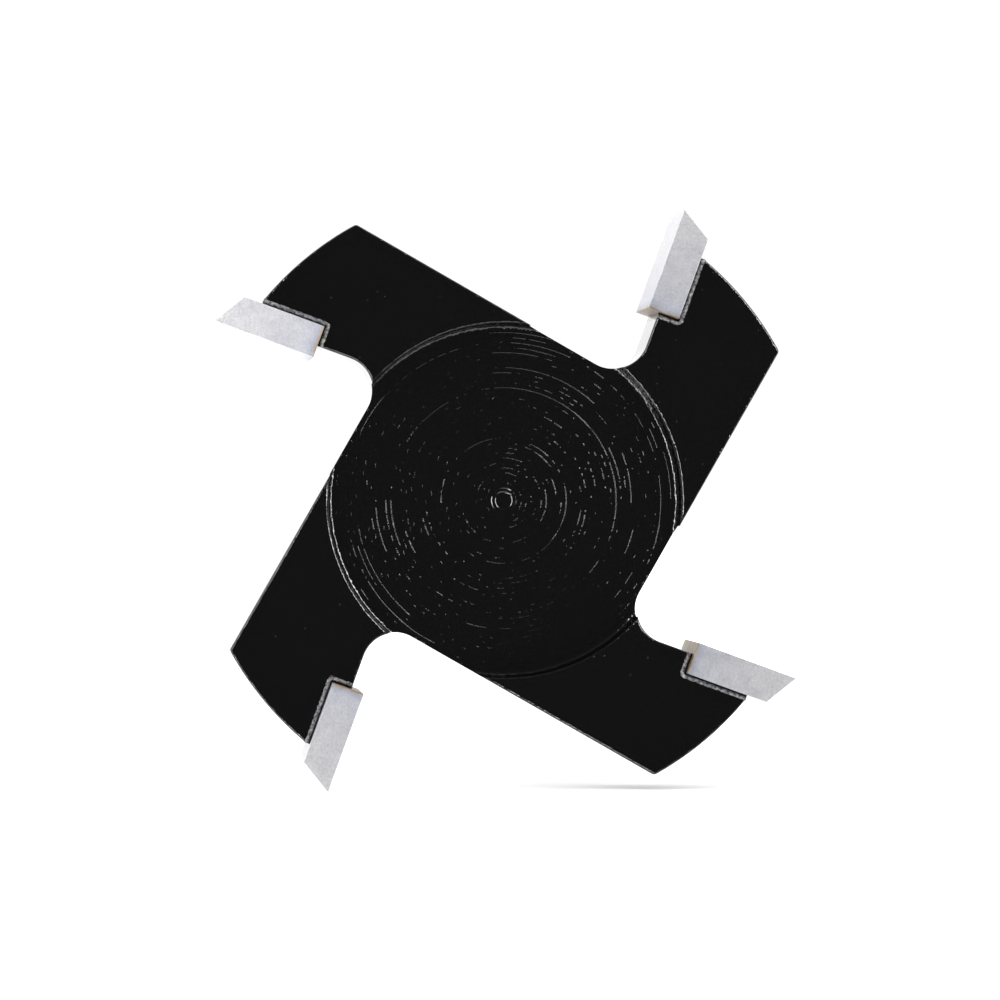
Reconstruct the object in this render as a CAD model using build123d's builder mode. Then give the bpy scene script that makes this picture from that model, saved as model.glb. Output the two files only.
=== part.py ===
from build123d import *

import math
import os

# Four-wing carving cutter for an M14 grinder spindle, millimetres.
#
# The spin axis is Y.  The cutting face looks towards -Y, the spindle comes in from +Y,
# and the origin is on the spin axis at the hub's seating face.  Axial places are heights
# above that seating face, measured towards the cutting face.  Seen from the front the
# cutter turns counter-clockwise, so each carbide tip leads its wing that way round.

# Wings, in the plan view of the cutting face.
WING_COUNT = 4
FIRST_WING_ANGLE = 60.2         # direction of wing 1, from +X towards +Z
BODY_RADIUS = 23.0              # outer arc of each wing
EDGE_OFFSET = 12.1              # straight trailing edge, from the spin axis
EDGE_BREAK = 0.2                # chamfer on the rim of the cutting face

# Carbide tips, in a wing's own plan: X out along the wing, Y towards its leading side.
CUTTING_RADIUS = 25.0           # circle swept by the tips
RAKE_LINE_OFFSET = 4.95         # the rake face's line passes this far behind the axis
RAKE_LINE_ANGLE = 9.7           # slope of the rake face in the wing's plan
TIP_THICKNESS = 2.4
TIP_WIDTH = 7.65                # along the rake face
TIP_LENGTH = 10.0               # along the spin axis
TIP_PROUD_FRONT = 1.2           # tip above the cutting face of the body
SIDE_RELIEF = 31.0              # clearance behind the outer cutting edge, degrees
FACE_RELIEF = 5.0               # clearance behind the front cutting edge, degrees

# Seat and gullet beside each tip.
SEAT_BACK_GAP = 0.18            # braze film behind the tip
SEAT_END_GAP = 0.28             # braze film at the tip's inner end
GULLET_STEP = 0.9               # the gullet wall is this far behind the rake face
GULLET_RADIUS = 2.5
BEAD = 0.34                     # braze bead on both faces of the body

# Body along the spin axis.
HUB_LENGTH = 12.0               # seating face to the back of the body
BODY_THICKNESS = 7.7
RELIEF_RADIUS = 13.0            # turned relief in the cutting face
RELIEF_DEPTH = 2.0
RELIEF_CORNER = 0.5             # fillet at the foot of the relief's wall
CENTRE_RADIUS = 0.95            # mouth of the drill-point mark in the middle
CENTRE_ANGLE = 118.0

# Threaded hub, M14 x 2.
HUB_RADIUS = 11.0
THREAD_MINOR_RADIUS = 5.92
THREAD_MOUTH_RADIUS = 7.25
WRENCH_FLATS = 19.0             # across the two flats
FLAT_HEIGHT = 8.0               # flats run this far up from the seating face
HUB_CHAMFER = 0.6
SPIGOT_RADIUS = 8.0
SPIGOT_LENGTH = 1.5
HUB_FILM = 0.1                  # braze film round the spigot and under the shoulder
HUB_BEAD = 1.0

BODY_BACK = HUB_LENGTH
BODY_FRONT = BODY_BACK + BODY_THICKNESS
TIP_FRONT = BODY_FRONT + TIP_PROUD_FRONT
TIP_BACK = TIP_FRONT - TIP_LENGTH
WING_ANGLES = [FIRST_WING_ANGLE + 360 / WING_COUNT * index for index in range(WING_COUNT)]


def wing_plane(angle, height):
    """Plane with X along a wing and Z out of the cutting face, at a height above the seat."""
    turn = math.radians(angle)
    wing_direction = (math.cos(turn), 0, math.sin(turn))
    return Plane(origin=(0, -height, 0), x_dir=wing_direction, z_dir=(0, -1, 0))


# Half section through the spin axis: X is the radius, Y the height above the seating face.
axial_plane = Plane(origin=(0, 0, 0), x_dir=(1, 0, 0), z_dir=(0, 0, -1))

# Plan of one wing.  `along` is the direction of the rake face, `across` points from the
# wing's metal to the rake face.
along = Vector(1, 0).rotate(Axis.Z, RAKE_LINE_ANGLE)
across = Vector(0, 1).rotate(Axis.Z, RAKE_LINE_ANGLE)
rake_foot = across * -RAKE_LINE_OFFSET


def on_rake(distance_along, distance_behind):
    """Point in the wing's plan, from distances along the rake face and behind it."""
    return rake_foot + along * distance_along - across * distance_behind


tip_outer = math.sqrt(CUTTING_RADIUS**2 - RAKE_LINE_OFFSET**2)
tip_inner = tip_outer - TIP_WIDTH
relief_setback = TIP_THICKNESS * math.tan(math.radians(SIDE_RELIEF))
seat_behind = TIP_THICKNESS + SEAT_BACK_GAP
seat_inner = tip_inner - SEAT_END_GAP

# The seat's back wall ends on the wing's outer arc, the gullet arc touches both walls.
seat_offset = RAKE_LINE_OFFSET + seat_behind
seat_outer = math.sqrt(BODY_RADIUS**2 - seat_offset**2)
gullet_line = RAKE_LINE_OFFSET + GULLET_STEP - GULLET_RADIUS
gullet_x = EDGE_OFFSET + GULLET_RADIUS
slope = math.radians(RAKE_LINE_ANGLE)
gullet_centre = Vector(gullet_x, (gullet_x * math.sin(slope) - gullet_line) / math.cos(slope))
gullet_on_wall = gullet_centre - across * GULLET_RADIUS
gullet_on_edge = gullet_centre - Vector(GULLET_RADIUS, 0)
edge_start = gullet_on_edge.rotate(Axis.Z, -360 / WING_COUNT)
edge_end = Vector(math.sqrt(BODY_RADIUS**2 - EDGE_OFFSET**2), -EDGE_OFFSET)
arc_tangent = Vector(EDGE_OFFSET, edge_end.X)


def wing_section(plane):
    """Section of one wing with its quarter of the waist, from the spin axis outwards."""
    with BuildSketch(plane) as section:
        with BuildLine():
            Line((0, 0), edge_start)
            Line(edge_start, edge_end)
            TangentArc(edge_end, on_rake(seat_outer, seat_behind), tangent=arc_tangent)
            Polyline(
                on_rake(seat_outer, seat_behind),
                on_rake(seat_inner, seat_behind),
                on_rake(seat_inner, GULLET_STEP),
                gullet_on_wall,
            )
            TangentArc(gullet_on_wall, gullet_on_edge, tangent=-along)
            Line(gullet_on_edge, (0, 0))
        make_face()
    return section.sketch


def tip_section(plane):
    """Section of a tip across the spin axis."""
    with BuildSketch(plane) as section:
        with BuildLine():
            Polyline(
                on_rake(tip_inner, 0),
                on_rake(tip_outer, 0),
                on_rake(tip_outer - relief_setback, TIP_THICKNESS),
                on_rake(tip_inner, TIP_THICKNESS),
                close=True,
            )
        make_face()
    return section.sketch


def braze_section(plane, grow):
    """L-shaped section of the braze, from the seat walls grown outwards to inside the tip."""
    with BuildSketch(plane) as section:
        with BuildLine():
            Polyline(
                on_rake(seat_inner - grow, GULLET_STEP),
                on_rake(tip_inner + TIP_THICKNESS / 2, GULLET_STEP),
                on_rake(tip_inner + TIP_THICKNESS / 2, TIP_THICKNESS / 2),
                on_rake(seat_outer, TIP_THICKNESS / 2),
                on_rake(seat_outer, seat_behind + grow),
                on_rake(seat_inner - grow, seat_behind + grow),
                close=True,
            )
        make_face()
    return section.sketch


def make_tip(angle):
    """Carbide tip whose front face falls away behind its cutting edge."""
    edge_plane = wing_plane(angle, TIP_FRONT)
    corner = edge_plane.from_local_coords(on_rake(tip_outer, 0))
    edge_direction = edge_plane.from_local_coords(on_rake(0, 0)) - corner
    relief_normal = edge_plane.z_dir.rotate(Axis((0, 0, 0), edge_direction), -FACE_RELIEF)
    relief_plane = Plane(origin=corner, x_dir=edge_direction, z_dir=relief_normal)
    with BuildPart() as tip:
        extrude(tip_section(wing_plane(angle, TIP_BACK)), amount=TIP_LENGTH)
        split(bisect_by=relief_plane, keep=Keep.BOTTOM)
    return tip.part


def make_braze(angle, tip):
    """Braze film between a tip and its seat, with a bead standing on both faces."""
    with BuildPart() as braze:
        extrude(braze_section(wing_plane(angle, BODY_BACK), 0), amount=BODY_THICKNESS)
        extrude(braze_section(wing_plane(angle, BODY_FRONT), BEAD), amount=BEAD, taper=40)
        extrude(braze_section(wing_plane(angle, BODY_BACK), BEAD), amount=-BEAD, taper=40)
        with BuildSketch(wing_plane(angle, BODY_BACK - BEAD)):
            Circle(BODY_RADIUS - 0.02)
        extrude(amount=BODY_THICKNESS + 2 * BEAD, mode=Mode.INTERSECT)
        add(tip, mode=Mode.SUBTRACT)
    return braze.part


os.makedirs("parts", exist_ok=True)

# Cutter body: four wings fused into one plate, turned out in front and bored behind.
relief_floor = BODY_FRONT - RELIEF_DEPTH
centre_bottom = relief_floor - CENTRE_RADIUS / math.tan(math.radians(CENTRE_ANGLE / 2))
with BuildPart() as cutter_body:
    for wing_angle in WING_ANGLES:
        extrude(wing_section(wing_plane(wing_angle, BODY_BACK)), amount=BODY_THICKNESS)
    front = cutter_body.faces().sort_by(Axis.Y)[0]
    chamfer(front.edges(), EDGE_BREAK)
    with BuildSketch(axial_plane) as relief_profile:
        with BuildLine():
            Polyline(
                (0, BODY_FRONT + EDGE_BREAK),
                (RELIEF_RADIUS, BODY_FRONT + EDGE_BREAK),
                (RELIEF_RADIUS, relief_floor),
                (CENTRE_RADIUS, relief_floor),
                (0, centre_bottom),
                close=True,
            )
        make_face()
        outermost = relief_profile.vertices().group_by(Axis.X)[-1]
        fillet(outermost.sort_by(Axis.Y)[-1], RELIEF_CORNER)
    revolve(axis=Axis.Y, mode=Mode.SUBTRACT)
    with BuildSketch(Plane.XZ.offset(BODY_BACK)):
        Circle(SPIGOT_RADIUS + HUB_FILM)
    extrude(amount=SPIGOT_LENGTH, mode=Mode.SUBTRACT)
cutter_body.part.label = "cutter_body"
export_step(cutter_body.part, "parts/cutter_body.step")

# Tips and the braze that holds them, one of each per wing.
for number, wing_angle in enumerate(WING_ANGLES, start=1):
    carbide_tip = make_tip(wing_angle)
    carbide_tip.label = f"carbide_tip_{number}"
    export_step(carbide_tip, f"parts/carbide_tip_{number}.step")
    tip_braze = make_braze(wing_angle, carbide_tip)
    tip_braze.label = f"tip_braze_{number}"
    export_step(tip_braze, f"parts/tip_braze_{number}.step")

# Threaded hub: round bar with a spigot, tapped right through, its bore cut at the
# thread's minor diameter.
with BuildPart() as threaded_hub:
    with BuildSketch(Plane.XZ):
        Circle(HUB_RADIUS)
    extrude(amount=HUB_LENGTH - HUB_FILM)
    seat_rim = threaded_hub.edges().filter_by(GeomType.CIRCLE).sort_by(Axis.Y)[-1]
    chamfer(seat_rim, HUB_CHAMFER)
    with BuildSketch(Plane.XZ):
        Rectangle(2 * HUB_RADIUS, 2 * HUB_RADIUS)
        Rectangle(WRENCH_FLATS, 2 * HUB_RADIUS, mode=Mode.SUBTRACT)
    extrude(amount=FLAT_HEIGHT, mode=Mode.SUBTRACT)
    with BuildSketch(Plane.XZ):
        Circle(SPIGOT_RADIUS)
    extrude(amount=HUB_LENGTH + SPIGOT_LENGTH)
    with BuildSketch(Plane.XZ):
        Circle(THREAD_MINOR_RADIUS)
    extrude(amount=HUB_LENGTH + SPIGOT_LENGTH, mode=Mode.SUBTRACT)
    with BuildSketch(axial_plane):
        with BuildLine():
            Polyline(
                (0, 0),
                (THREAD_MOUTH_RADIUS, 0),
                (0, THREAD_MOUTH_RADIUS),
                close=True,
            )
        make_face()
    revolve(axis=Axis.Y, mode=Mode.SUBTRACT)
threaded_hub.part.label = "threaded_hub"
export_step(threaded_hub.part, "parts/threaded_hub.step")

# Braze between hub and body: film round the spigot and under the shoulder, bead outside.
with BuildPart() as hub_braze:
    with BuildSketch(axial_plane):
        with BuildLine():
            Polyline(
                (HUB_RADIUS + HUB_BEAD, BODY_BACK),
                (SPIGOT_RADIUS + HUB_FILM, BODY_BACK),
                (SPIGOT_RADIUS + HUB_FILM, BODY_BACK + SPIGOT_LENGTH),
                (SPIGOT_RADIUS, BODY_BACK + SPIGOT_LENGTH),
                (SPIGOT_RADIUS, BODY_BACK - HUB_FILM),
                (HUB_RADIUS, BODY_BACK - HUB_FILM),
                (HUB_RADIUS, BODY_BACK - HUB_BEAD),
            )
            RadiusArc(
                (HUB_RADIUS, BODY_BACK - HUB_BEAD),
                (HUB_RADIUS + HUB_BEAD, BODY_BACK),
                HUB_BEAD,
            )
        make_face()
    revolve(axis=Axis.Y)
hub_braze.part.label = "hub_braze"
export_step(hub_braze.part, "parts/hub_braze.step")
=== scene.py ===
import math

import bmesh
import bpy
from mathutils import Matrix, Vector, noise

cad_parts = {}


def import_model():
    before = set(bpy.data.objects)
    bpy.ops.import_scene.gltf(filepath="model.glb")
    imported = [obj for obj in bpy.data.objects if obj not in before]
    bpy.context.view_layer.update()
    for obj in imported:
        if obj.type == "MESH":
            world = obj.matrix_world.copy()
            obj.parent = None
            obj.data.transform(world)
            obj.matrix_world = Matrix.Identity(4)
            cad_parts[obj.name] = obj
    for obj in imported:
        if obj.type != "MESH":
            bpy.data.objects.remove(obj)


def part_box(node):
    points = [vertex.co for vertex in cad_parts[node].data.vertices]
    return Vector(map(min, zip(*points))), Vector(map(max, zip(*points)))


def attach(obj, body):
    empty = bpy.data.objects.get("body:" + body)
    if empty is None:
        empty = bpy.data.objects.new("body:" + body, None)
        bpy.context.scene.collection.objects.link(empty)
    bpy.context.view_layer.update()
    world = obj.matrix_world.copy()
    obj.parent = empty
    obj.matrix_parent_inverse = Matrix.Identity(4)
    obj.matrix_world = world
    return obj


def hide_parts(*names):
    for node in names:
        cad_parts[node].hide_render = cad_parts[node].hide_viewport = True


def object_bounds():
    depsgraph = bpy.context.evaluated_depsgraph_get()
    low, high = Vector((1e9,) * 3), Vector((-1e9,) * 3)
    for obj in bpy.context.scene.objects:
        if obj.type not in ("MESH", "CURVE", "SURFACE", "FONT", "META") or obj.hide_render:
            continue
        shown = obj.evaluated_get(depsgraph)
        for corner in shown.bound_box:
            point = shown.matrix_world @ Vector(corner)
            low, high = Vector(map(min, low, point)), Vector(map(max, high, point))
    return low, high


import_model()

cad_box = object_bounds()

MM = 0.001

# Plan of the cutter, in millimetres, as the CAD has it: X out along a wing, Y to its
# leading side.
WING_COUNT = 4
FIRST_WING_ANGLE = 60.2
BODY_RADIUS = 23.0
EDGE_OFFSET = 12.1
CUTTING_RADIUS = 25.0
RAKE_LINE_OFFSET = 4.95
RAKE_LINE_ANGLE = 9.7
TIP_THICKNESS = 2.4
TIP_WIDTH = 7.65
SIDE_RELIEF = 31.0
SEAT_BACK_GAP = 0.18
SEAT_END_GAP = 0.28
GULLET_STEP = 0.9
GULLET_RADIUS = 2.5
RELIEF_RADIUS = 13.0
RELIEF_DEPTH = 2.0
RELIEF_CORNER = 0.5
CENTRE_RADIUS = 0.95
BORE_RADIUS = 8.1
BORE_DEPTH = 1.5

# Hub, in millimetres.
HUB_RADIUS = 11.0
HUB_CHAMFER = 0.6
HUB_FILM = 0.1
HUB_BEAD = 1.0
WRENCH_FLATS = 19.0
FLAT_HEIGHT = 8.0
SPIGOT_RADIUS = 8.0
HUB_EDGE_RADIUS = 0.12
HUB_SEGMENTS = 144
THREAD_RINGS = 108
THREAD_MINOR_RADIUS = 5.92
THREAD_MAJOR_RADIUS = 7.0
THREAD_MOUTH_RADIUS = 7.25
THREAD_PITCH = 2.0

# Surface detail that the CAD leaves out, in millimetres.
EDGE_RADIUS = 0.2
TIP_EDGE_RADIUS = 0.035
FACE_RELIEF = 5.0               # slope of the tips' front faces, degrees
TURNED_RADIUS = 11.6            # the turned floor is modelled out to here
TURNED_STEP = 0.062             # radial distance between its rings
TURNED_SEGMENTS = 480
BORE_SEGMENTS = 120
FEED = 0.37                     # spacing of the turning ridges
RIDGE_HEIGHT = 0.006
BEAD_STEP = 0.07                # distance between the sections of a braze bead

# Heights above the hub's seating face, in millimetres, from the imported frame.
BODY_BACK = -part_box("cutter_body")[1][1] / MM
BODY_FRONT = -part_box("cutter_body")[0][1] / MM
TIP_FRONT = -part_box("carbide_tip_1")[0][1] / MM
TIP_BACK = -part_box("carbide_tip_1")[1][1] / MM
RELIEF_FLOOR = BODY_FRONT - RELIEF_DEPTH
WING_ANGLES = [FIRST_WING_ANGLE + 360 / WING_COUNT * index for index in range(WING_COUNT)]


def turned(point, degrees):
    """Plan point turned about the spin axis."""
    c = math.cos(math.radians(degrees))
    s = math.sin(math.radians(degrees))
    return (point[0] * c - point[1] * s, point[0] * s + point[1] * c)


def world(x, y, height):
    """Point of the row frame, in millimetres, from a plan point and a height.  Pieces are
    made in millimetres, because the modelling tools' tolerances suit that scale, and
    place() turns them into metres."""
    return Vector((x, -height, y))


# Rake face of a wing: its direction, and points along and behind it.
ALONG = turned((1, 0), RAKE_LINE_ANGLE)
ACROSS = turned((0, 1), RAKE_LINE_ANGLE)


def on_rake(distance_along, distance_behind):
    across = -RAKE_LINE_OFFSET - distance_behind
    return (
        ALONG[0] * distance_along + ACROSS[0] * across,
        ALONG[1] * distance_along + ACROSS[1] * across,
    )


TIP_OUTER = math.sqrt(CUTTING_RADIUS**2 - RAKE_LINE_OFFSET**2)
TIP_INNER = TIP_OUTER - TIP_WIDTH
SEAT_BEHIND = TIP_THICKNESS + SEAT_BACK_GAP
SEAT_INNER = TIP_INNER - SEAT_END_GAP
SEAT_OUTER = math.sqrt(BODY_RADIUS**2 - (RAKE_LINE_OFFSET + SEAT_BEHIND) ** 2)


def arc(centre, radius, start, end, count):
    """Points of an arc, angles in degrees, both ends included."""
    angles = [math.radians(start + (end - start) * i / count) for i in range(count + 1)]
    return [(centre[0] + radius * math.cos(a), centre[1] + radius * math.sin(a)) for a in angles]


def wing_outline():
    """One quarter of the body's outline, from a gullet to the next, counter-clockwise."""
    slope = math.radians(RAKE_LINE_ANGLE)
    gullet_line = RAKE_LINE_OFFSET + GULLET_STEP - GULLET_RADIUS
    gullet_x = EDGE_OFFSET + GULLET_RADIUS
    gullet_y = (gullet_x * math.sin(slope) - gullet_line) / math.cos(slope)
    gullet = (gullet_x, gullet_y)
    edge_end = (math.sqrt(BODY_RADIUS**2 - EDGE_OFFSET**2), -EDGE_OFFSET)
    seat_end = on_rake(SEAT_OUTER, SEAT_BEHIND)
    arc_start = math.degrees(math.atan2(edge_end[1], edge_end[0]))
    arc_end = math.degrees(math.atan2(seat_end[1], seat_end[0]))
    wall_angle = RAKE_LINE_ANGLE - 90
    points = [turned((EDGE_OFFSET, gullet_y), -90)]
    points += arc((0, 0), BODY_RADIUS, arc_start, arc_end, 24)
    points += [on_rake(SEAT_INNER, SEAT_BEHIND), on_rake(SEAT_INNER, GULLET_STEP)]
    points += arc(gullet, GULLET_RADIUS, wall_angle, -180, 24)[:-1]
    return points


def link(obj):
    bpy.context.scene.collection.objects.link(obj)
    return obj


def mesh_object(name, bm):
    mesh = bpy.data.meshes.new(name)
    bmesh.ops.recalc_face_normals(bm, faces=bm.faces)
    bm.to_mesh(mesh)
    bm.free()
    return link(bpy.data.objects.new(name, mesh))


def prism(name, outline, low, high):
    """Closed prism over a plan outline, between two heights."""
    bm = bmesh.new()
    rings = [[bm.verts.new(world(x, y, h)) for x, y in outline] for h in (low, high)]
    count = len(outline)
    for i in range(count):
        j = (i + 1) % count
        bm.faces.new((rings[0][i], rings[0][j], rings[1][j], rings[1][i]))
    bm.faces.new(rings[0])
    bm.faces.new(rings[1])
    return mesh_object(name, bm)


def lathe(name, profile, segments):
    """Closed solid of revolution about the spin axis, from (radius, height) points whose
    first and last rings are closed by flat caps."""
    bm = bmesh.new()
    turn = [2 * math.pi * i / segments for i in range(segments)]
    rings = [
        [bm.verts.new(world(radius * math.cos(a), radius * math.sin(a), height)) for a in turn]
        for radius, height in profile
    ]
    for lower, upper in zip(rings, rings[1:]):
        skin(bm, lower, upper)
    bm.faces.new(rings[0])
    bm.faces.new(rings[-1])
    return mesh_object(name, bm)


def skin(bm, lower, upper):
    """Closed band of quads between two rings of the same length."""
    count = len(lower)
    faces = []
    for i in range(count):
        j = (i + 1) % count
        faces.append(bm.faces.new((lower[i], lower[j], upper[j], upper[i])))
    return faces


def cut(obj, cutter):
    """Takes cutter out of obj, and removes cutter.  The object's many-sided faces become
    triangles first."""
    bm = bmesh.new()
    bm.from_mesh(obj.data)
    large = [face for face in bm.faces if len(face.verts) > 4]
    bmesh.ops.triangulate(bm, faces=large, ngon_method="EAR_CLIP")
    bm.to_mesh(obj.data)
    bm.free()
    boolean = obj.modifiers.new("cut", "BOOLEAN")
    boolean.operation = "DIFFERENCE"
    boolean.solver = "MANIFOLD"
    boolean.object = cutter
    freeze(obj)
    bpy.data.objects.remove(cutter)


def freeze(obj):
    """Applies every modifier to the mesh."""
    depsgraph = bpy.context.evaluated_depsgraph_get()
    mesh = bpy.data.meshes.new_from_object(obj.evaluated_get(depsgraph))
    obj.modifiers.clear()
    old = obj.data
    obj.data = mesh
    bpy.data.meshes.remove(old)


def round_edges(obj, width, segments=3, angle=35, by_weight=False):
    """Rounds every sharp edge, or the weighted ones.  The rounded faces take the object's
    second material."""
    for _ in range(2):
        obj.data.materials.append(None)
    bevel = obj.modifiers.new("round", "BEVEL")
    bevel.limit_method = "WEIGHT" if by_weight else "ANGLE"
    bevel.angle_limit = math.radians(angle)
    bevel.width = width
    bevel.segments = segments
    bevel.use_clamp_overlap = False
    bevel.material = 1
    bevel.miter_outer = "MITER_SHARP"
    freeze(obj)


def smooth(obj):
    """Shades the piece smooth, with its flat faces kept flat."""
    for polygon in obj.data.polygons:
        polygon.use_smooth = True
    obj.data.set_sharp_from_angle(angle=math.radians(50))
    weighted = obj.modifiers.new("normals", "WEIGHTED_NORMAL")
    weighted.mode = "FACE_AREA"
    weighted.weight = 50
    weighted.keep_sharp = True
    freeze(obj)


def place(obj, materials, slot, *nodes):
    """Turns a finished piece into metres and puts it on the body in place of CAD nodes."""
    obj.data.transform(Matrix.Scale(MM, 4))
    indices = [polygon.material_index for polygon in obj.data.polygons]
    obj.data.materials.clear()
    for material in materials:
        obj.data.materials.append(material)
    obj.data.polygons.foreach_set("material_index", indices)
    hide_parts(*nodes)
    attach(obj, "root")


# ---------------------------------------------------------------- materials


class Nodes:
    """Short way to write a node tree."""

    def __init__(self, name):
        self.material = bpy.data.materials.new(name)
        self.material.use_nodes = True
        self.tree = self.material.node_tree
        self.shader = self.tree.nodes["Principled BSDF"]

    def add(self, kind, inputs=None, **settings):
        node = self.tree.nodes.new(kind)
        for key, value in settings.items():
            setattr(node, key, value)
        for key, value in (inputs or {}).items():
            if isinstance(value, bpy.types.NodeSocket):
                self.tree.links.new(value, node.inputs[key])
            else:
                node.inputs[key].default_value = value
        return node

    def link(self, source, socket):
        self.tree.links.new(source, self.shader.inputs[socket])

    def math(self, operation, a, b=0.0):
        return self.add("ShaderNodeMath", {0: a, 1: b}, operation=operation).outputs[0]

    def ramp(self, value, *stops):
        node = self.add("ShaderNodeValToRGB", {0: value})
        elements = node.color_ramp.elements
        while len(elements) < len(stops):
            elements.new(0.5)
        for element, (place_on_ramp, level) in zip(elements, stops):
            element.position = place_on_ramp
            element.color = level if isinstance(level, tuple) else (level, level, level, 1)
        return node.outputs[0]

    def position(self):
        """Coordinates of the row frame, in millimetres."""
        coordinates = self.add("ShaderNodeNewGeometry").outputs["Position"]
        node = self.add("ShaderNodeVectorMath", {0: coordinates}, operation="SCALE")
        node.inputs["Scale"].default_value = 1 / MM
        return node.outputs[0]

    def noise(self, vector, scale, detail=3.0, roughness=0.5):
        inputs = {"Vector": vector, "Scale": scale, "Detail": detail, "Roughness": roughness}
        return self.add("ShaderNodeTexNoise", inputs).outputs["Fac"]

    def dot(self, vector, direction):
        inputs = {0: vector, 1: direction}
        return self.add("ShaderNodeVectorMath", inputs, operation="DOT_PRODUCT").outputs["Value"]

    def channel(self, colour, index):
        return self.add("ShaderNodeSeparateColor", {0: colour}).outputs[index]

    def vector(self, x, y, z, scale):
        parts = self.add("ShaderNodeCombineXYZ", {0: x, 1: y, 2: z}).outputs[0]
        inputs = {0: parts, 1: scale}
        return self.add("ShaderNodeVectorMath", inputs, operation="MULTIPLY").outputs[0]

    def radius(self, position):
        inputs = {0: position, 1: (1, 0, 1)}
        flat = self.add("ShaderNodeVectorMath", inputs, operation="MULTIPLY").outputs[0]
        return self.add("ShaderNodeVectorMath", {0: flat}, operation="LENGTH").outputs["Value"]

    def turned_ridges(self, position):
        """Height from 0 to 1 of the tool marks on the relief's floor: thin burrs, long on
        some rings and only specks on most."""
        radius = self.radius(position)
        turns = self.math("DIVIDE", radius, FEED)
        ring = self.math("FLOOR", turns)
        wave = self.math("SINE", self.math("MULTIPLY", turns, math.pi))
        wave = self.math("POWER", self.math("ABSOLUTE", wave), 36.0)
        split = self.add("ShaderNodeSeparateXYZ", {0: position})
        angle = self.math("ARCTAN2", split.outputs[2], split.outputs[0])
        per_ring = self.noise(self.vector(0.0, ring, 0.0, (1, 7.3, 1)), 1.0, 0.0)
        slow = self.noise(self.vector(angle, ring, 0.0, (1.7, 5.3, 1.0)), 1.0, 1.0)
        quick = self.noise(self.vector(angle, ring, 3.0, (14.0, 5.3, 1.0)), 1.0, 2.0)
        patch = self.noise(position, 0.13, 1.0)
        level = self.math("MULTIPLY", per_ring, 0.8)
        level = self.math("ADD", level, self.math("MULTIPLY", slow, 1.1))
        level = self.math("ADD", level, self.math("MULTIPLY", quick, 0.75))
        level = self.math("ADD", level, self.math("MULTIPLY", patch, 0.75))
        breaks = self.ramp(self.math("MULTIPLY", level, 0.3), (0.542, 0.0), (0.580, 1.0))
        arc_length = self.math("MULTIPLY", angle, radius)
        dashes = self.noise(self.vector(arc_length, ring, 7.0, (2.4, 5.3, 1.0)), 1.0, 1.0)
        flecks = self.ramp(dashes, (0.64, 0.0), (0.70, 0.9))
        breaks = self.math("MAXIMUM", breaks, flecks)
        on_floor = self.math("LESS_THAN", radius, RELIEF_RADIUS - RELIEF_CORNER)
        height = self.dot(position, (0, -1, 0))
        below = self.math("LESS_THAN", height, RELIEF_FLOOR + 0.2)
        above = self.math("GREATER_THAN", height, RELIEF_FLOOR - 0.03)
        mask = self.math("MULTIPLY", self.math("MULTIPLY", on_floor, below), above)
        return self.math("MULTIPLY", self.math("MULTIPLY", wave, breaks), mask)

    def bump(self, height, strength, distance, normal=None):
        inputs = {"Height": height, "Strength": strength, "Distance": distance}
        if normal is not None:
            inputs["Normal"] = normal
        return self.add("ShaderNodeBump", inputs).outputs[0]


def black_enamel(name, edge=False):
    """Gloss black enamel over the turned and milled steel: orange peel, a few specks of
    dust, and on the relief's floor the tool marks showing through.  On rounded edges the
    film is uneven."""
    n = Nodes(name)
    n.shader.inputs["IOR"].default_value = 1.65
    position = n.position()
    cells = n.add("ShaderNodeTexVoronoi", {"Vector": position, "Scale": 1.5})
    near_centre = n.ramp(cells.outputs["Distance"], (0.03, 1.0), (0.12, 0.0))
    chosen = n.math("GREATER_THAN", n.channel(cells.outputs["Color"], 0), 0.70)
    speck = n.math("MULTIPLY", near_centre, chosen)
    colour = n.ramp(speck, (0.3, (0.0012, 0.0012, 0.0013, 1)), (1.0, (0.035, 0.035, 0.037, 1)))
    n.link(colour, "Base Color")
    smears = n.noise(position, 0.22, 3.0)
    n.link(n.ramp(smears, (0.35, 0.07), (0.7, 0.12)), "Roughness")
    peel = n.noise(position, 1.3, 2.0)
    normal = n.bump(peel, 1.0, 0.000012)
    normal = n.bump(speck, 1.0, 0.00002, normal)
    if edge:
        ragged = n.noise(position, 2.2, 2.0, 0.5)
        normal = n.bump(ragged, 1.0, 0.00006, normal)
    else:
        normal = n.bump(n.turned_ridges(position), 1.0, 0.000024, normal)
    n.link(normal, "Normal")
    return n.material


def bead_enamel_painted_highlight():
    """Braze bead under a thin, rough coat of the same enamel, its grey patches a painted highlight
    of light caught on the lip's slopes.
    """
    n = Nodes("bead_enamel_painted_highlight")
    position = n.position()
    painted_highlight_patches = n.noise(position, 4.0, 4.0, 0.65)
    # Painted highlight: the grey and pale patches in the colour stand in for light on the lip.
    colour = n.ramp(
        painted_highlight_patches,
        (0.34, (0.012, 0.012, 0.013, 1)),
        (0.50, (0.14, 0.14, 0.145, 1)),
        (0.68, (0.40, 0.40, 0.41, 1)),
    )
    n.link(colour, "Base Color")
    n.link(n.ramp(painted_highlight_patches, (0.3, 0.2), (0.7, 0.4)), "Roughness")
    n.link(n.bump(n.noise(position, 7.0, 3.0), 1.0, 0.00006), "Normal")
    return n.material


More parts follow.
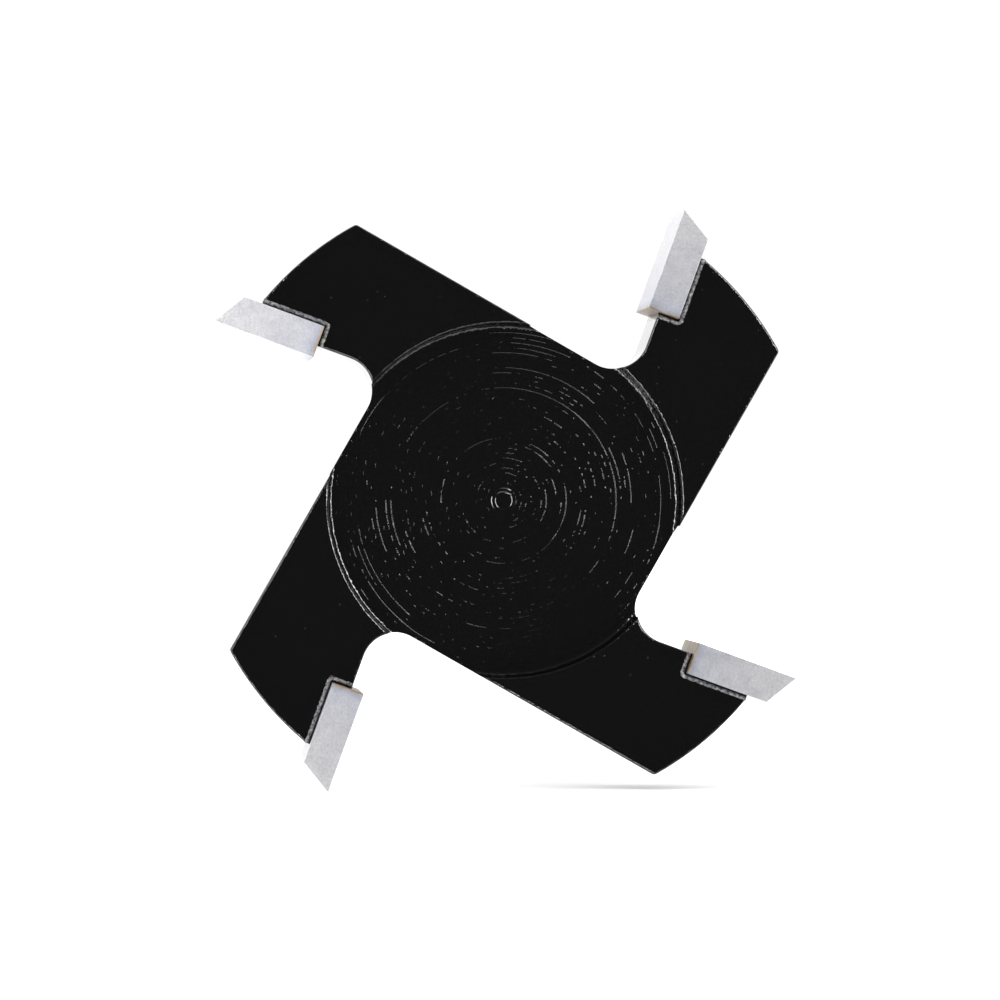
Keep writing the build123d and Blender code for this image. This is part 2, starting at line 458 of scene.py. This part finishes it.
def ground_carbide(number, angle, painted_light_level):
    """Ground carbide: fine lines from the wheel, cloudy grey, and a brown heat tint beside
    the braze at the tip's inner end, beyond which a painted shade darkens the tip slowly
    towards that end.  Each tip's greys are scaled by its own painted light level, so the
    tips are lit and shaded copies of the same carbide."""
    n = Nodes(f"ground_carbide_{number}")
    position = n.position()
    turn = math.radians(angle + RAKE_LINE_ANGLE)
    along_tip = n.dot(position, (math.cos(turn), 0, math.sin(turn)))
    across_tip = n.dot(position, (-math.sin(turn), 0, math.cos(turn)))
    up_tip = n.dot(position, (0, -1, 0))
    front_lines = n.noise(n.vector(along_tip, across_tip, up_tip, (16.0, 0.7, 16.0)), 1.0, 3.0, 0.6)
    cloud = n.noise(position, 0.9, 6.0, 0.66)
    grain = n.noise(position, 6.0, 3.0, 0.75)
    shade = n.math("MULTIPLY", cloud, 0.30)
    shade = n.math("ADD", shade, n.math("MULTIPLY", front_lines, 0.22))
    shade = n.math("ADD", shade, n.math("MULTIPLY", grain, 0.48))
    # Greys scaled by the tip's painted light level: painted highlight or painted shade.
    low = tuple(painted_light_level * level for level in (0.72, 0.72, 0.77)) + (1,)
    middle = tuple(painted_light_level * level for level in (0.94, 0.93, 0.96)) + (1,)
    high = tuple(min(1.0, painted_light_level * level) for level in (1.1, 1.09, 1.1)) + (1,)
    grey = n.ramp(shade, (0.34, low), (0.5, middle), (0.64, high))
    # Brown and blue heat tint within the first millimetre from the inner end; beyond it a painted
    # shade that lightens slowly towards the outer end.
    from_end = n.math("SUBTRACT", along_tip, TIP_INNER)
    from_end = n.math("ADD", from_end, n.math("MULTIPLY", n.math("SUBTRACT", cloud, 0.5), 0.5))
    tint = n.ramp(
        n.math("DIVIDE", from_end, 8.0),
        (0.0, (0.50, 0.38, 0.24, 1)),
        (0.016, (0.66, 0.61, 0.58, 1)),
        (0.035, (0.66, 0.71, 0.80, 1)),
        (0.09, (0.82, 0.84, 0.89, 1)),
        (0.4, (0.90, 0.90, 0.92, 1)),
        (1.0, (1, 1, 1, 1)),
    )
    mix = n.add("ShaderNodeMix", {6: grey, 7: tint}, data_type="RGBA", blend_type="MULTIPLY")
    mix.inputs[0].default_value = 1.0
    n.link(mix.outputs[2], "Base Color")
    n.shader.inputs["Metallic"].default_value = 0.55
    n.link(n.ramp(front_lines, (0.3, 0.33), (0.7, 0.47)), "Roughness")
    normal = n.bump(front_lines, 1.0, 0.000004)
    normal = n.bump(grain, 1.0, 0.000003, normal)
    n.link(normal, "Normal")
    return n.material


def machined_steel():
    """Turned and milled steel with tool lines, darker where the brazing heat reached it."""
    n = Nodes("machined_steel")
    position = n.position()
    radius = n.radius(position)
    height = n.dot(position, (0, -1, 0))
    lines = n.noise(n.vector(radius, height, 0.0, (9.0, 9.0, 1.0)), 1.0, 4.0, 0.7)
    stain = n.noise(position, 0.35, 5.0, 0.6)
    shade = n.math("ADD", n.math("MULTIPLY", lines, 0.5), n.math("MULTIPLY", stain, 0.5))
    grey = n.ramp(shade, (0.35, (0.30, 0.30, 0.31, 1)), (0.62, (0.62, 0.61, 0.60, 1)))
    heated = n.math("ADD", height, n.math("MULTIPLY", stain, 3.0))
    tint = n.ramp(
        n.math("DIVIDE", heated, 16.0),
        (0.50, (1, 1, 1, 1)),
        (0.66, (0.92, 0.80, 0.60, 1)),
        (0.76, (0.62, 0.48, 0.42, 1)),
        (0.86, (0.42, 0.43, 0.52, 1)),
    )
    mix = n.add("ShaderNodeMix", {6: grey, 7: tint}, data_type="RGBA", blend_type="MULTIPLY")
    mix.inputs[0].default_value = 1.0
    n.link(mix.outputs[2], "Base Color")
    n.shader.inputs["Metallic"].default_value = 1.0
    n.link(n.ramp(stain, (0.3, 0.24), (0.7, 0.42)), "Roughness")
    n.link(n.bump(lines, 1.0, 0.00001), "Normal")
    return n.material


def silver_braze():
    """Silver braze: matt pale yellow, rippled, with darker flux stains."""
    n = Nodes("silver_braze")
    position = n.position()
    ripple = n.noise(position, 1.7, 4.0, 0.55)
    stain = n.noise(position, 0.8, 5.0, 0.65)
    colour = n.ramp(
        stain,
        (0.36, (0.20, 0.16, 0.11, 1)),
        (0.48, (0.58, 0.51, 0.37, 1)),
        (0.66, (0.76, 0.71, 0.58, 1)),
    )
    n.link(colour, "Base Color")
    n.shader.inputs["Metallic"].default_value = 1.0
    n.link(n.ramp(stain, (0.35, 0.55), (0.65, 0.32)), "Roughness")
    n.link(n.bump(ripple, 1.0, 0.00012), "Normal")
    return n.material


# ---------------------------------------------------------------- pieces


def wobble(x, y, z):
    """Smooth noise from -1 to 1."""
    return noise.noise(Vector((x, y, z)))


def turned_floor_height(radius, angle):
    """Height of the relief's turned floor: fine ridges, uneven from ring to ring and
    broken along each ring."""
    ring = math.floor(radius / FEED)
    phase = radius / FEED - ring
    strength = 0.55 + 0.5 * wobble(math.cos(angle) * 2, math.sin(angle) * 2, ring * 3.7)
    return RELIEF_FLOOR + RIDGE_HEIGHT * strength * math.sin(math.pi * phase) ** 4


# Drill-point mark in the middle of the relief, rounded by the enamel: radius, and height
# above the floor.
CENTRE_MARK = [
    (CENTRE_RADIUS + 0.09, 0.012),
    (CENTRE_RADIUS + 0.03, 0.030),
    (CENTRE_RADIUS - 0.03, 0.010),
    (CENTRE_RADIUS - 0.09, -0.030),
    (CENTRE_RADIUS - 0.14, -0.035),
    (CENTRE_RADIUS - 0.20, -0.030),
    (0.70, -0.09),
    (0.60, -0.15),
    (0.50, -0.18),
    (0.30, -0.19),
    (0.10, -0.19),
]


def turn_the_floor(body):
    """Replaces the plain middle of the relief's floor by its turned surface and the
    centre-drill mark."""
    bm = bmesh.new()
    bm.from_mesh(body.data)
    rim = []
    for vert in bm.verts:
        radius = math.hypot(vert.co.x, vert.co.z)
        height = -vert.co.y
        if abs(radius - TURNED_RADIUS) < 0.01 and height > BODY_BACK + 2:
            rim.append(vert)
    members = set(rim)
    cap = [face for face in bm.faces if len(face.verts) > 50 and set(face.verts) <= members]
    bmesh.ops.delete(bm, geom=cap, context="FACES_ONLY")
    rim.sort(key=lambda vert: math.atan2(vert.co.z, vert.co.x))
    angles = [math.atan2(vert.co.z, vert.co.x) for vert in rim]
    steps = int((TURNED_RADIUS - CENTRE_RADIUS - 0.2) / TURNED_STEP)
    profile = [(TURNED_RADIUS - TURNED_STEP * (i + 1), 0.0) for i in range(steps)]
    profile += CENTRE_MARK
    outer_ring = rim
    for radius, rise in profile:
        ring = []
        for angle in angles:
            level = rise + (RELIEF_FLOOR if rise else turned_floor_height(radius, angle))
            place_on_ring = (radius * math.cos(angle), radius * math.sin(angle))
            ring.append(bm.verts.new(world(*place_on_ring, level)))
        skin(bm, outer_ring, ring)
        outer_ring = ring
    bm.faces.new(outer_ring)
    bmesh.ops.recalc_face_normals(bm, faces=bm.faces)
    bm.to_mesh(body.data)
    bm.free()


def weigh_edges(obj, wanted, sharpness):
    """Marks the sharp edges whose ends are wanted, by radius and height, for rounding."""
    bm = bmesh.new()
    bm.from_mesh(obj.data)
    weight = bm.edges.layers.float.new("bevel_weight_edge")
    for edge in bm.edges:
        ends = [(math.hypot(v.co.x, v.co.z), -v.co.y) for v in edge.verts]
        sharp = edge.calc_face_angle(0) > math.radians(sharpness)
        if sharp and all(wanted(radius, height) for radius, height in ends):
            edge[weight] = 1.0
    bm.to_mesh(obj.data)
    bm.free()


def make_body(materials):
    """Painted head: the wings' prism with its edges rounded, then the turned relief and
    the spigot's bore cut out of it."""
    outline = [turned(point, angle) for angle in WING_ANGLES for point in wing_outline()]
    body = prism("painted_cutter_body", outline, BODY_BACK, BODY_FRONT)
    round_edges(body, EDGE_RADIUS)
    bore = [(BORE_RADIUS, BODY_BACK - 1), (BORE_RADIUS, BODY_BACK + BORE_DEPTH)]
    cut(body, lathe("bore", bore, BORE_SEGMENTS))
    rim = arc((RELIEF_RADIUS + EDGE_RADIUS, BODY_FRONT - EDGE_RADIUS), EDGE_RADIUS, 105, 180, 4)
    foot = arc(
        (RELIEF_RADIUS - RELIEF_CORNER, RELIEF_FLOOR + RELIEF_CORNER), RELIEF_CORNER, 0, -90, 8
    )
    mouth = (rim[0][0] + 0.02, BODY_FRONT + 1)
    relief = lathe("relief", [mouth, *rim, *foot, (TURNED_RADIUS, RELIEF_FLOOR)], TURNED_SEGMENTS)
    for _ in range(2):
        relief.data.materials.append(None)
    for polygon in relief.data.polygons:
        tilt = abs(polygon.normal.y)
        polygon.material_index = 1 if 0.05 < tilt < 0.99 else 0
    cut(body, relief)
    turn_the_floor(body)
    smooth(body)
    place(body, materials, "black_enamel", "cutter_body")


def make_tip(number, angle, material):
    """Ground carbide tip, its front face falling away behind the cutting edge."""
    setback = TIP_THICKNESS * math.tan(math.radians(SIDE_RELIEF))
    drop = TIP_THICKNESS * math.tan(math.radians(FACE_RELIEF))
    corners = [
        (on_rake(TIP_INNER, 0), TIP_FRONT),
        (on_rake(TIP_OUTER, 0), TIP_FRONT),
        (on_rake(TIP_OUTER - setback, TIP_THICKNESS), TIP_FRONT - drop),
        (on_rake(TIP_INNER, TIP_THICKNESS), TIP_FRONT - drop),
    ]
    bm = bmesh.new()
    back = [bm.verts.new(world(*turned(point, angle), TIP_BACK)) for point, _ in corners]
    front = [bm.verts.new(world(*turned(point, angle), height)) for point, height in corners]
    skin(bm, back, front)
    bm.faces.new(back)
    bm.faces.new(front)
    tip = mesh_object(f"ground_carbide_tip_{number}", bm)
    round_edges(tip, TIP_EDGE_RADIUS, segments=2)
    smooth(tip)
    place(tip, [material, material], "carbide", f"carbide_tip_{number}")


# Braze bead in section: distance from the tip's wall, height above the body's face, and
# whether the face that follows is the grey lip or the black groove.
BEAD_SECTION = [
    (-0.04, -0.10, 0),
    (0.03, -0.15, 0),
    (0.09, -0.14, 0),
    (0.14, -0.05, 1),
    (0.18, 0.06, 1),
    (0.24, 0.10, 1),
    (0.30, 0.09, 1),
    (0.36, 0.05, 1),
    (0.42, -0.01, 0),
    (0.45, -0.12, 0),
]


def bead_stations():
    """Points along the seat, on the tip's edge, each with the bead's outward direction:
    along the inner end, round the corner, then along the back."""
    stations = []
    inner_leg = TIP_THICKNESS - GULLET_STEP
    count = round(inner_leg / BEAD_STEP)
    for i in range(count):
        stations.append((TIP_INNER, GULLET_STEP + inner_leg * i / count, -1.0, 0.0))
    for i in range(9):
        turn = math.radians(90 * i / 8)
        stations.append((TIP_INNER, TIP_THICKNESS, -math.cos(turn), math.sin(turn)))
    outer_leg = SEAT_OUTER - TIP_INNER - 0.05
    count = round(outer_leg / BEAD_STEP)
    for i in range(1, count + 1):
        stations.append((TIP_INNER + outer_leg * i / count, TIP_THICKNESS, 0.0, 1.0))
    return stations


def make_braze(number, angle, materials):
    """Braze film round a tip's seat, with a ragged bead standing on both faces of the body."""
    bm = bmesh.new()
    rings = []
    section = [(distance, height, 1) for distance, height, _ in BEAD_SECTION]
    section += [(distance, height, -1) for distance, height, _ in BEAD_SECTION[::-1]]
    for i, (along_tip, behind, outwards, backwards) in enumerate(bead_stations()):
        seed = number * 31.0
        reach = 1 + 0.16 * wobble(i * 0.3, seed, 0) + 0.14 * wobble(i * 0.9, seed, 5)
        lift = 1 + 0.40 * wobble(i * 0.3, seed, 9) + 0.45 * wobble(i * 0.9, seed, 14)
        ring = []
        for distance, height, side in section:
            offset = distance * reach if distance > 0.1 else distance
            rise = height * lift if height > 0 else height
            point = on_rake(along_tip + outwards * offset, behind + backwards * offset)
            level = BODY_FRONT + rise if side > 0 else BODY_BACK - rise
            ring.append(bm.verts.new(world(*turned(point, angle), level)))
        rings.append(ring)
    lip = [kind for _, _, kind in BEAD_SECTION]
    lip += [0, *lip[-2::-1]]
    for lower, upper in zip(rings, rings[1:]):
        for face, kind in zip(skin(bm, lower, upper), lip):
            face.material_index = kind
            face.smooth = True
    bm.faces.new(rings[0])
    bm.faces.new(rings[-1])
    bead = mesh_object(f"braze_bead_{number}", bm)
    for _ in range(2):
        bead.data.materials.append(None)
    place(bead, materials, "tip_braze", f"tip_braze_{number}")


def thread_radius(height, angle):
    """Radius of the hub's internal thread: a right-hand helix with a flat crest and root."""
    turn = height / THREAD_PITCH + angle / (2 * math.pi)
    place_in_pitch = abs(turn - round(turn)) * 2
    depth = min(1.0, max(0.0, (place_in_pitch - 0.25) / 0.625))
    radius = THREAD_MINOR_RADIUS + (THREAD_MAJOR_RADIUS - THREAD_MINOR_RADIUS) * depth
    return max(radius, THREAD_MOUTH_RADIUS - height)


def make_hub(material):
    """Threaded hub: turned outside with two wrench flats, a spigot, and an M14 thread."""
    angles = [2 * math.pi * i / HUB_SEGMENTS for i in range(HUB_SEGMENTS)]
    shoulder = BODY_BACK - HUB_FILM
    outside = [
        (THREAD_MOUTH_RADIUS, 0),
        (HUB_RADIUS - HUB_CHAMFER, 0),
        (HUB_RADIUS, HUB_CHAMFER),
        (HUB_RADIUS, shoulder),
        (SPIGOT_RADIUS, shoulder),
        (SPIGOT_RADIUS, BODY_BACK + BORE_DEPTH - 0.2),
        (SPIGOT_RADIUS - 0.2, BODY_BACK + BORE_DEPTH),
    ]
    bm = bmesh.new()
    rings = []
    for radius, height in outside:
        ring = [(radius * math.cos(a), radius * math.sin(a)) for a in angles]
        rings.append([bm.verts.new(world(x, y, height)) for x, y in ring])
    for i in range(THREAD_RINGS + 1):
        height = (BODY_BACK + BORE_DEPTH) * (1 - i / THREAD_RINGS)
        ring = []
        for angle in angles:
            radius = thread_radius(height, angle)
            x = radius * math.cos(angle)
            y = radius * math.sin(angle)
            ring.append(bm.verts.new(world(x, y, height)))
        rings.append(ring)
    for lower, upper in zip(rings, rings[1:]):
        skin(bm, lower, upper)
    skin(bm, rings[-1], rings[0])
    bmesh.ops.remove_doubles(bm, verts=bm.verts, dist=1e-4)
    hub = mesh_object("turned_threaded_hub", bm)
    for side in (-1, 1):
        flat = side * WRENCH_FLATS / 2
        beyond = side * 30
        block = [(flat, -20), (beyond, -20), (beyond, 20), (flat, 20)]
        cut(hub, prism("flat", block, -1, FLAT_HEIGHT))
    weigh_edges(hub, lambda radius, height: radius > SPIGOT_RADIUS + 0.5, 25)
    round_edges(hub, HUB_EDGE_RADIUS, segments=2, by_weight=True)
    smooth(hub)
    place(hub, [material, material], "machined_steel", "threaded_hub")


def make_hub_braze(material):
    """Braze ring between hub and body: a wavy fillet outside, the film hidden inside."""
    count = 240
    rings = []
    bm = bmesh.new()
    for i in range(count):
        angle = 2 * math.pi * i / count
        x = math.cos(angle)
        y = math.sin(angle)
        leg = HUB_BEAD * (0.86 + 0.10 * wobble(x * 5, y * 5, 3) + 0.05 * wobble(x * 21, y * 21, 7))
        bulge = 0.16 + 0.1 * wobble(x * 9, y * 9, 11)
        section = []
        for k in range(9):
            t = k / 8
            sag = leg * (1 - bulge)
            straight = leg - sag
            inwards = sag * math.sin(math.pi / 2 * (1 - t)) + straight * (1 - t)
            upwards = sag * (1 - math.cos(math.pi / 2 * t)) + straight * t
            radius = HUB_RADIUS + leg - inwards
            height = BODY_BACK - leg + upwards
            section.append((radius, height))
        section += [
            (HUB_RADIUS + leg - 0.02, BODY_BACK + 0.02),
            (SPIGOT_RADIUS + HUB_FILM, BODY_BACK + 0.01),
            (SPIGOT_RADIUS + HUB_FILM, BODY_BACK + BORE_DEPTH),
            (SPIGOT_RADIUS, BODY_BACK + BORE_DEPTH),
            (SPIGOT_RADIUS, BODY_BACK - HUB_FILM),
            (HUB_RADIUS, BODY_BACK - HUB_FILM),
        ]
        rings.append([bm.verts.new(world(x * r, y * r, h)) for r, h in section])
    for lower, upper in zip(rings, rings[1:] + rings[:1]):
        skin(bm, lower, upper)
    ring = mesh_object("hub_braze_fillet", bm)
    for polygon in ring.data.polygons:
        polygon.use_smooth = True
    place(ring, [material], "silver_braze", "hub_braze")


# ---------------------------------------------------------------- studio


def make_camera():
    """Long lens a little left of the spin axis, level with it."""
    distance = 0.370
    swing = math.radians(3.95)
    pixels_per_tangent = 5062
    forward = Vector((math.sin(swing), math.cos(swing), 0))
    camera = bpy.data.cameras.new("camera")
    camera.lens = camera.sensor_width * pixels_per_tangent / 1000
    camera.shift_x = -0.0067
    camera.shift_y = 0.0003
    obj = link(bpy.data.objects.new("camera", camera))
    obj.location = world(0, 0, TIP_FRONT) * MM - forward * distance
    obj.rotation_mode = "QUATERNION"
    obj.rotation_quaternion = forward.to_track_quat("-Z", "Y")
    bpy.context.scene.camera = obj


def area_light(name, place_at, look_at, size, power, gloss_only=False, gloss=True):
    light = bpy.data.lights.new(name, "AREA")
    light.shape = "RECTANGLE"
    light.size = size[0]
    light.size_y = size[1]
    light.energy = power
    obj = link(bpy.data.objects.new(name, light))
    obj.location = place_at
    obj.rotation_mode = "QUATERNION"
    obj.rotation_quaternion = (Vector(look_at) - Vector(place_at)).to_track_quat("-Z", "Y")
    obj.visible_diffuse = not gloss_only
    obj.visible_glossy = gloss


def make_world():
    """White studio that is dim in front of the cutting face, and to reflections also dim
    at its sides, so that only the lights draw lines along the rounded edges."""
    studio = bpy.data.worlds.new("studio")
    bpy.context.scene.world = studio
    studio.use_nodes = True
    tree = studio.node_tree
    tree.nodes.clear()

    def add(kind, **settings):
        node = tree.nodes.new(kind)
        for key, value in settings.items():
            setattr(node, key, value)
        return node

    coordinates = add("ShaderNodeTexCoord")
    front = add("ShaderNodeVectorMath", operation="DOT_PRODUCT")
    front.inputs[1].default_value = (0, -1, 0)
    tree.links.new(coordinates.outputs["Generated"], front.inputs[0])

    def brightness(*levels):
        ramp = add("ShaderNodeValToRGB")
        stops = ramp.color_ramp.elements
        stops.new(0.35)
        for stop, (place_on_ramp, grey) in zip(stops, levels):
            stop.position = place_on_ramp
            stop.color = (grey, grey, grey, 1)
        tree.links.new(front.outputs["Value"], ramp.inputs[0])
        background = add("ShaderNodeBackground")
        tree.links.new(ramp.outputs[0], background.inputs["Color"])
        return background.outputs[0]

    path = add("ShaderNodeLightPath")
    lighting = add("ShaderNodeMixShader")
    tree.links.new(path.outputs["Is Glossy Ray"], lighting.inputs[0])
    tree.links.new(brightness((0.0, 1.35), (0.3, 0.45), (0.72, 0.045)), lighting.inputs[1])
    tree.links.new(brightness((0.0, 1.35), (0.10, 0.20), (0.72, 0.085)), lighting.inputs[2])
    seen = add("ShaderNodeBackground")
    seen.inputs["Color"].default_value = (1, 1, 1, 1)
    seen.inputs["Strength"].default_value = 1.05
    mix = add("ShaderNodeMixShader")
    tree.links.new(path.outputs["Is Camera Ray"], mix.inputs[0])
    tree.links.new(lighting.outputs[0], mix.inputs[1])
    tree.links.new(seen.outputs[0], mix.inputs[2])
    out = add("ShaderNodeOutputWorld")
    tree.links.new(mix.outputs[0], out.inputs["Surface"])


def make_floor():
    lowest = cad_box[0][2]
    bm = bmesh.new()
    bmesh.ops.create_grid(bm, x_segments=4, y_segments=4, size=3.0)
    bmesh.ops.translate(bm, verts=bm.verts, vec=(0, 0, lowest))
    floor = mesh_object("floor", bm)
    n = Nodes("floor_white")
    n.shader.inputs["Base Color"].default_value = (0.93, 0.93, 0.93, 1)
    n.shader.inputs["Roughness"].default_value = 0.7
    distance = n.add("ShaderNodeVectorMath", {0: n.position()}, operation="LENGTH").outputs["Value"]
    # The floor glows, weakly near the object and fully far from it, so that it reads white beyond
    # the object's shadow.
    far = n.ramp(n.math("DIVIDE", distance, 900.0), (0.1, 0.3), (0.9, 1.0))
    n.shader.inputs["Emission Color"].default_value = (1, 1, 1, 1)
    n.link(far, "Emission Strength")
    floor.data.materials.append(n.material)
    floor.visible_glossy = False
    floor.visible_shadow = False


make_camera()
make_world()
make_floor()
area_light("left_strip", (-0.62, -0.50, 0.05), (0, 0, 0), (0.12, 1.0), 5.5, gloss_only=True)
area_light("right_strip", (0.60, -0.42, 0.20), (0, 0, 0), (0.12, 0.8), 4.5, gloss_only=True)
area_light("low_left", (-0.38, -0.36, -0.48), (0, 0, 0), (0.9, 0.08), 2.2, gloss_only=True)
area_light("low_front", (0.12, -0.32, -0.55), (0, 0, 0), (1.0, 0.25), 1.1, gloss_only=True)
area_light("top_box", (-0.25, -0.25, 0.85), (0, 0, 0), (1.2, 1.2), 8, gloss=False)
area_light("front_box", (0.10, -0.75, 0.55), (0, 0, 0), (0.9, 0.5), 4, gloss=False)

make_body([black_enamel("black_enamel"), black_enamel("black_enamel_edges", edge=True)])
beads = [black_enamel("groove_enamel", edge=True), bead_enamel_painted_highlight()]
# Painted light level of each tip: its carbide greys are lighter where the tip sits in brighter
# light and darker where it is shaded.
tip_painted_light_levels = (0.66, 0.88, 0.75, 0.68)
for number, (angle, painted_light_level) in enumerate(zip(WING_ANGLES, tip_painted_light_levels), start=1):
    make_tip(number, angle, ground_carbide(number, angle, painted_light_level))
    make_braze(number, angle, beads)
make_hub(machined_steel())
make_hub_braze(silver_braze())

bpy.context.scene.view_settings.view_transform = "Standard"
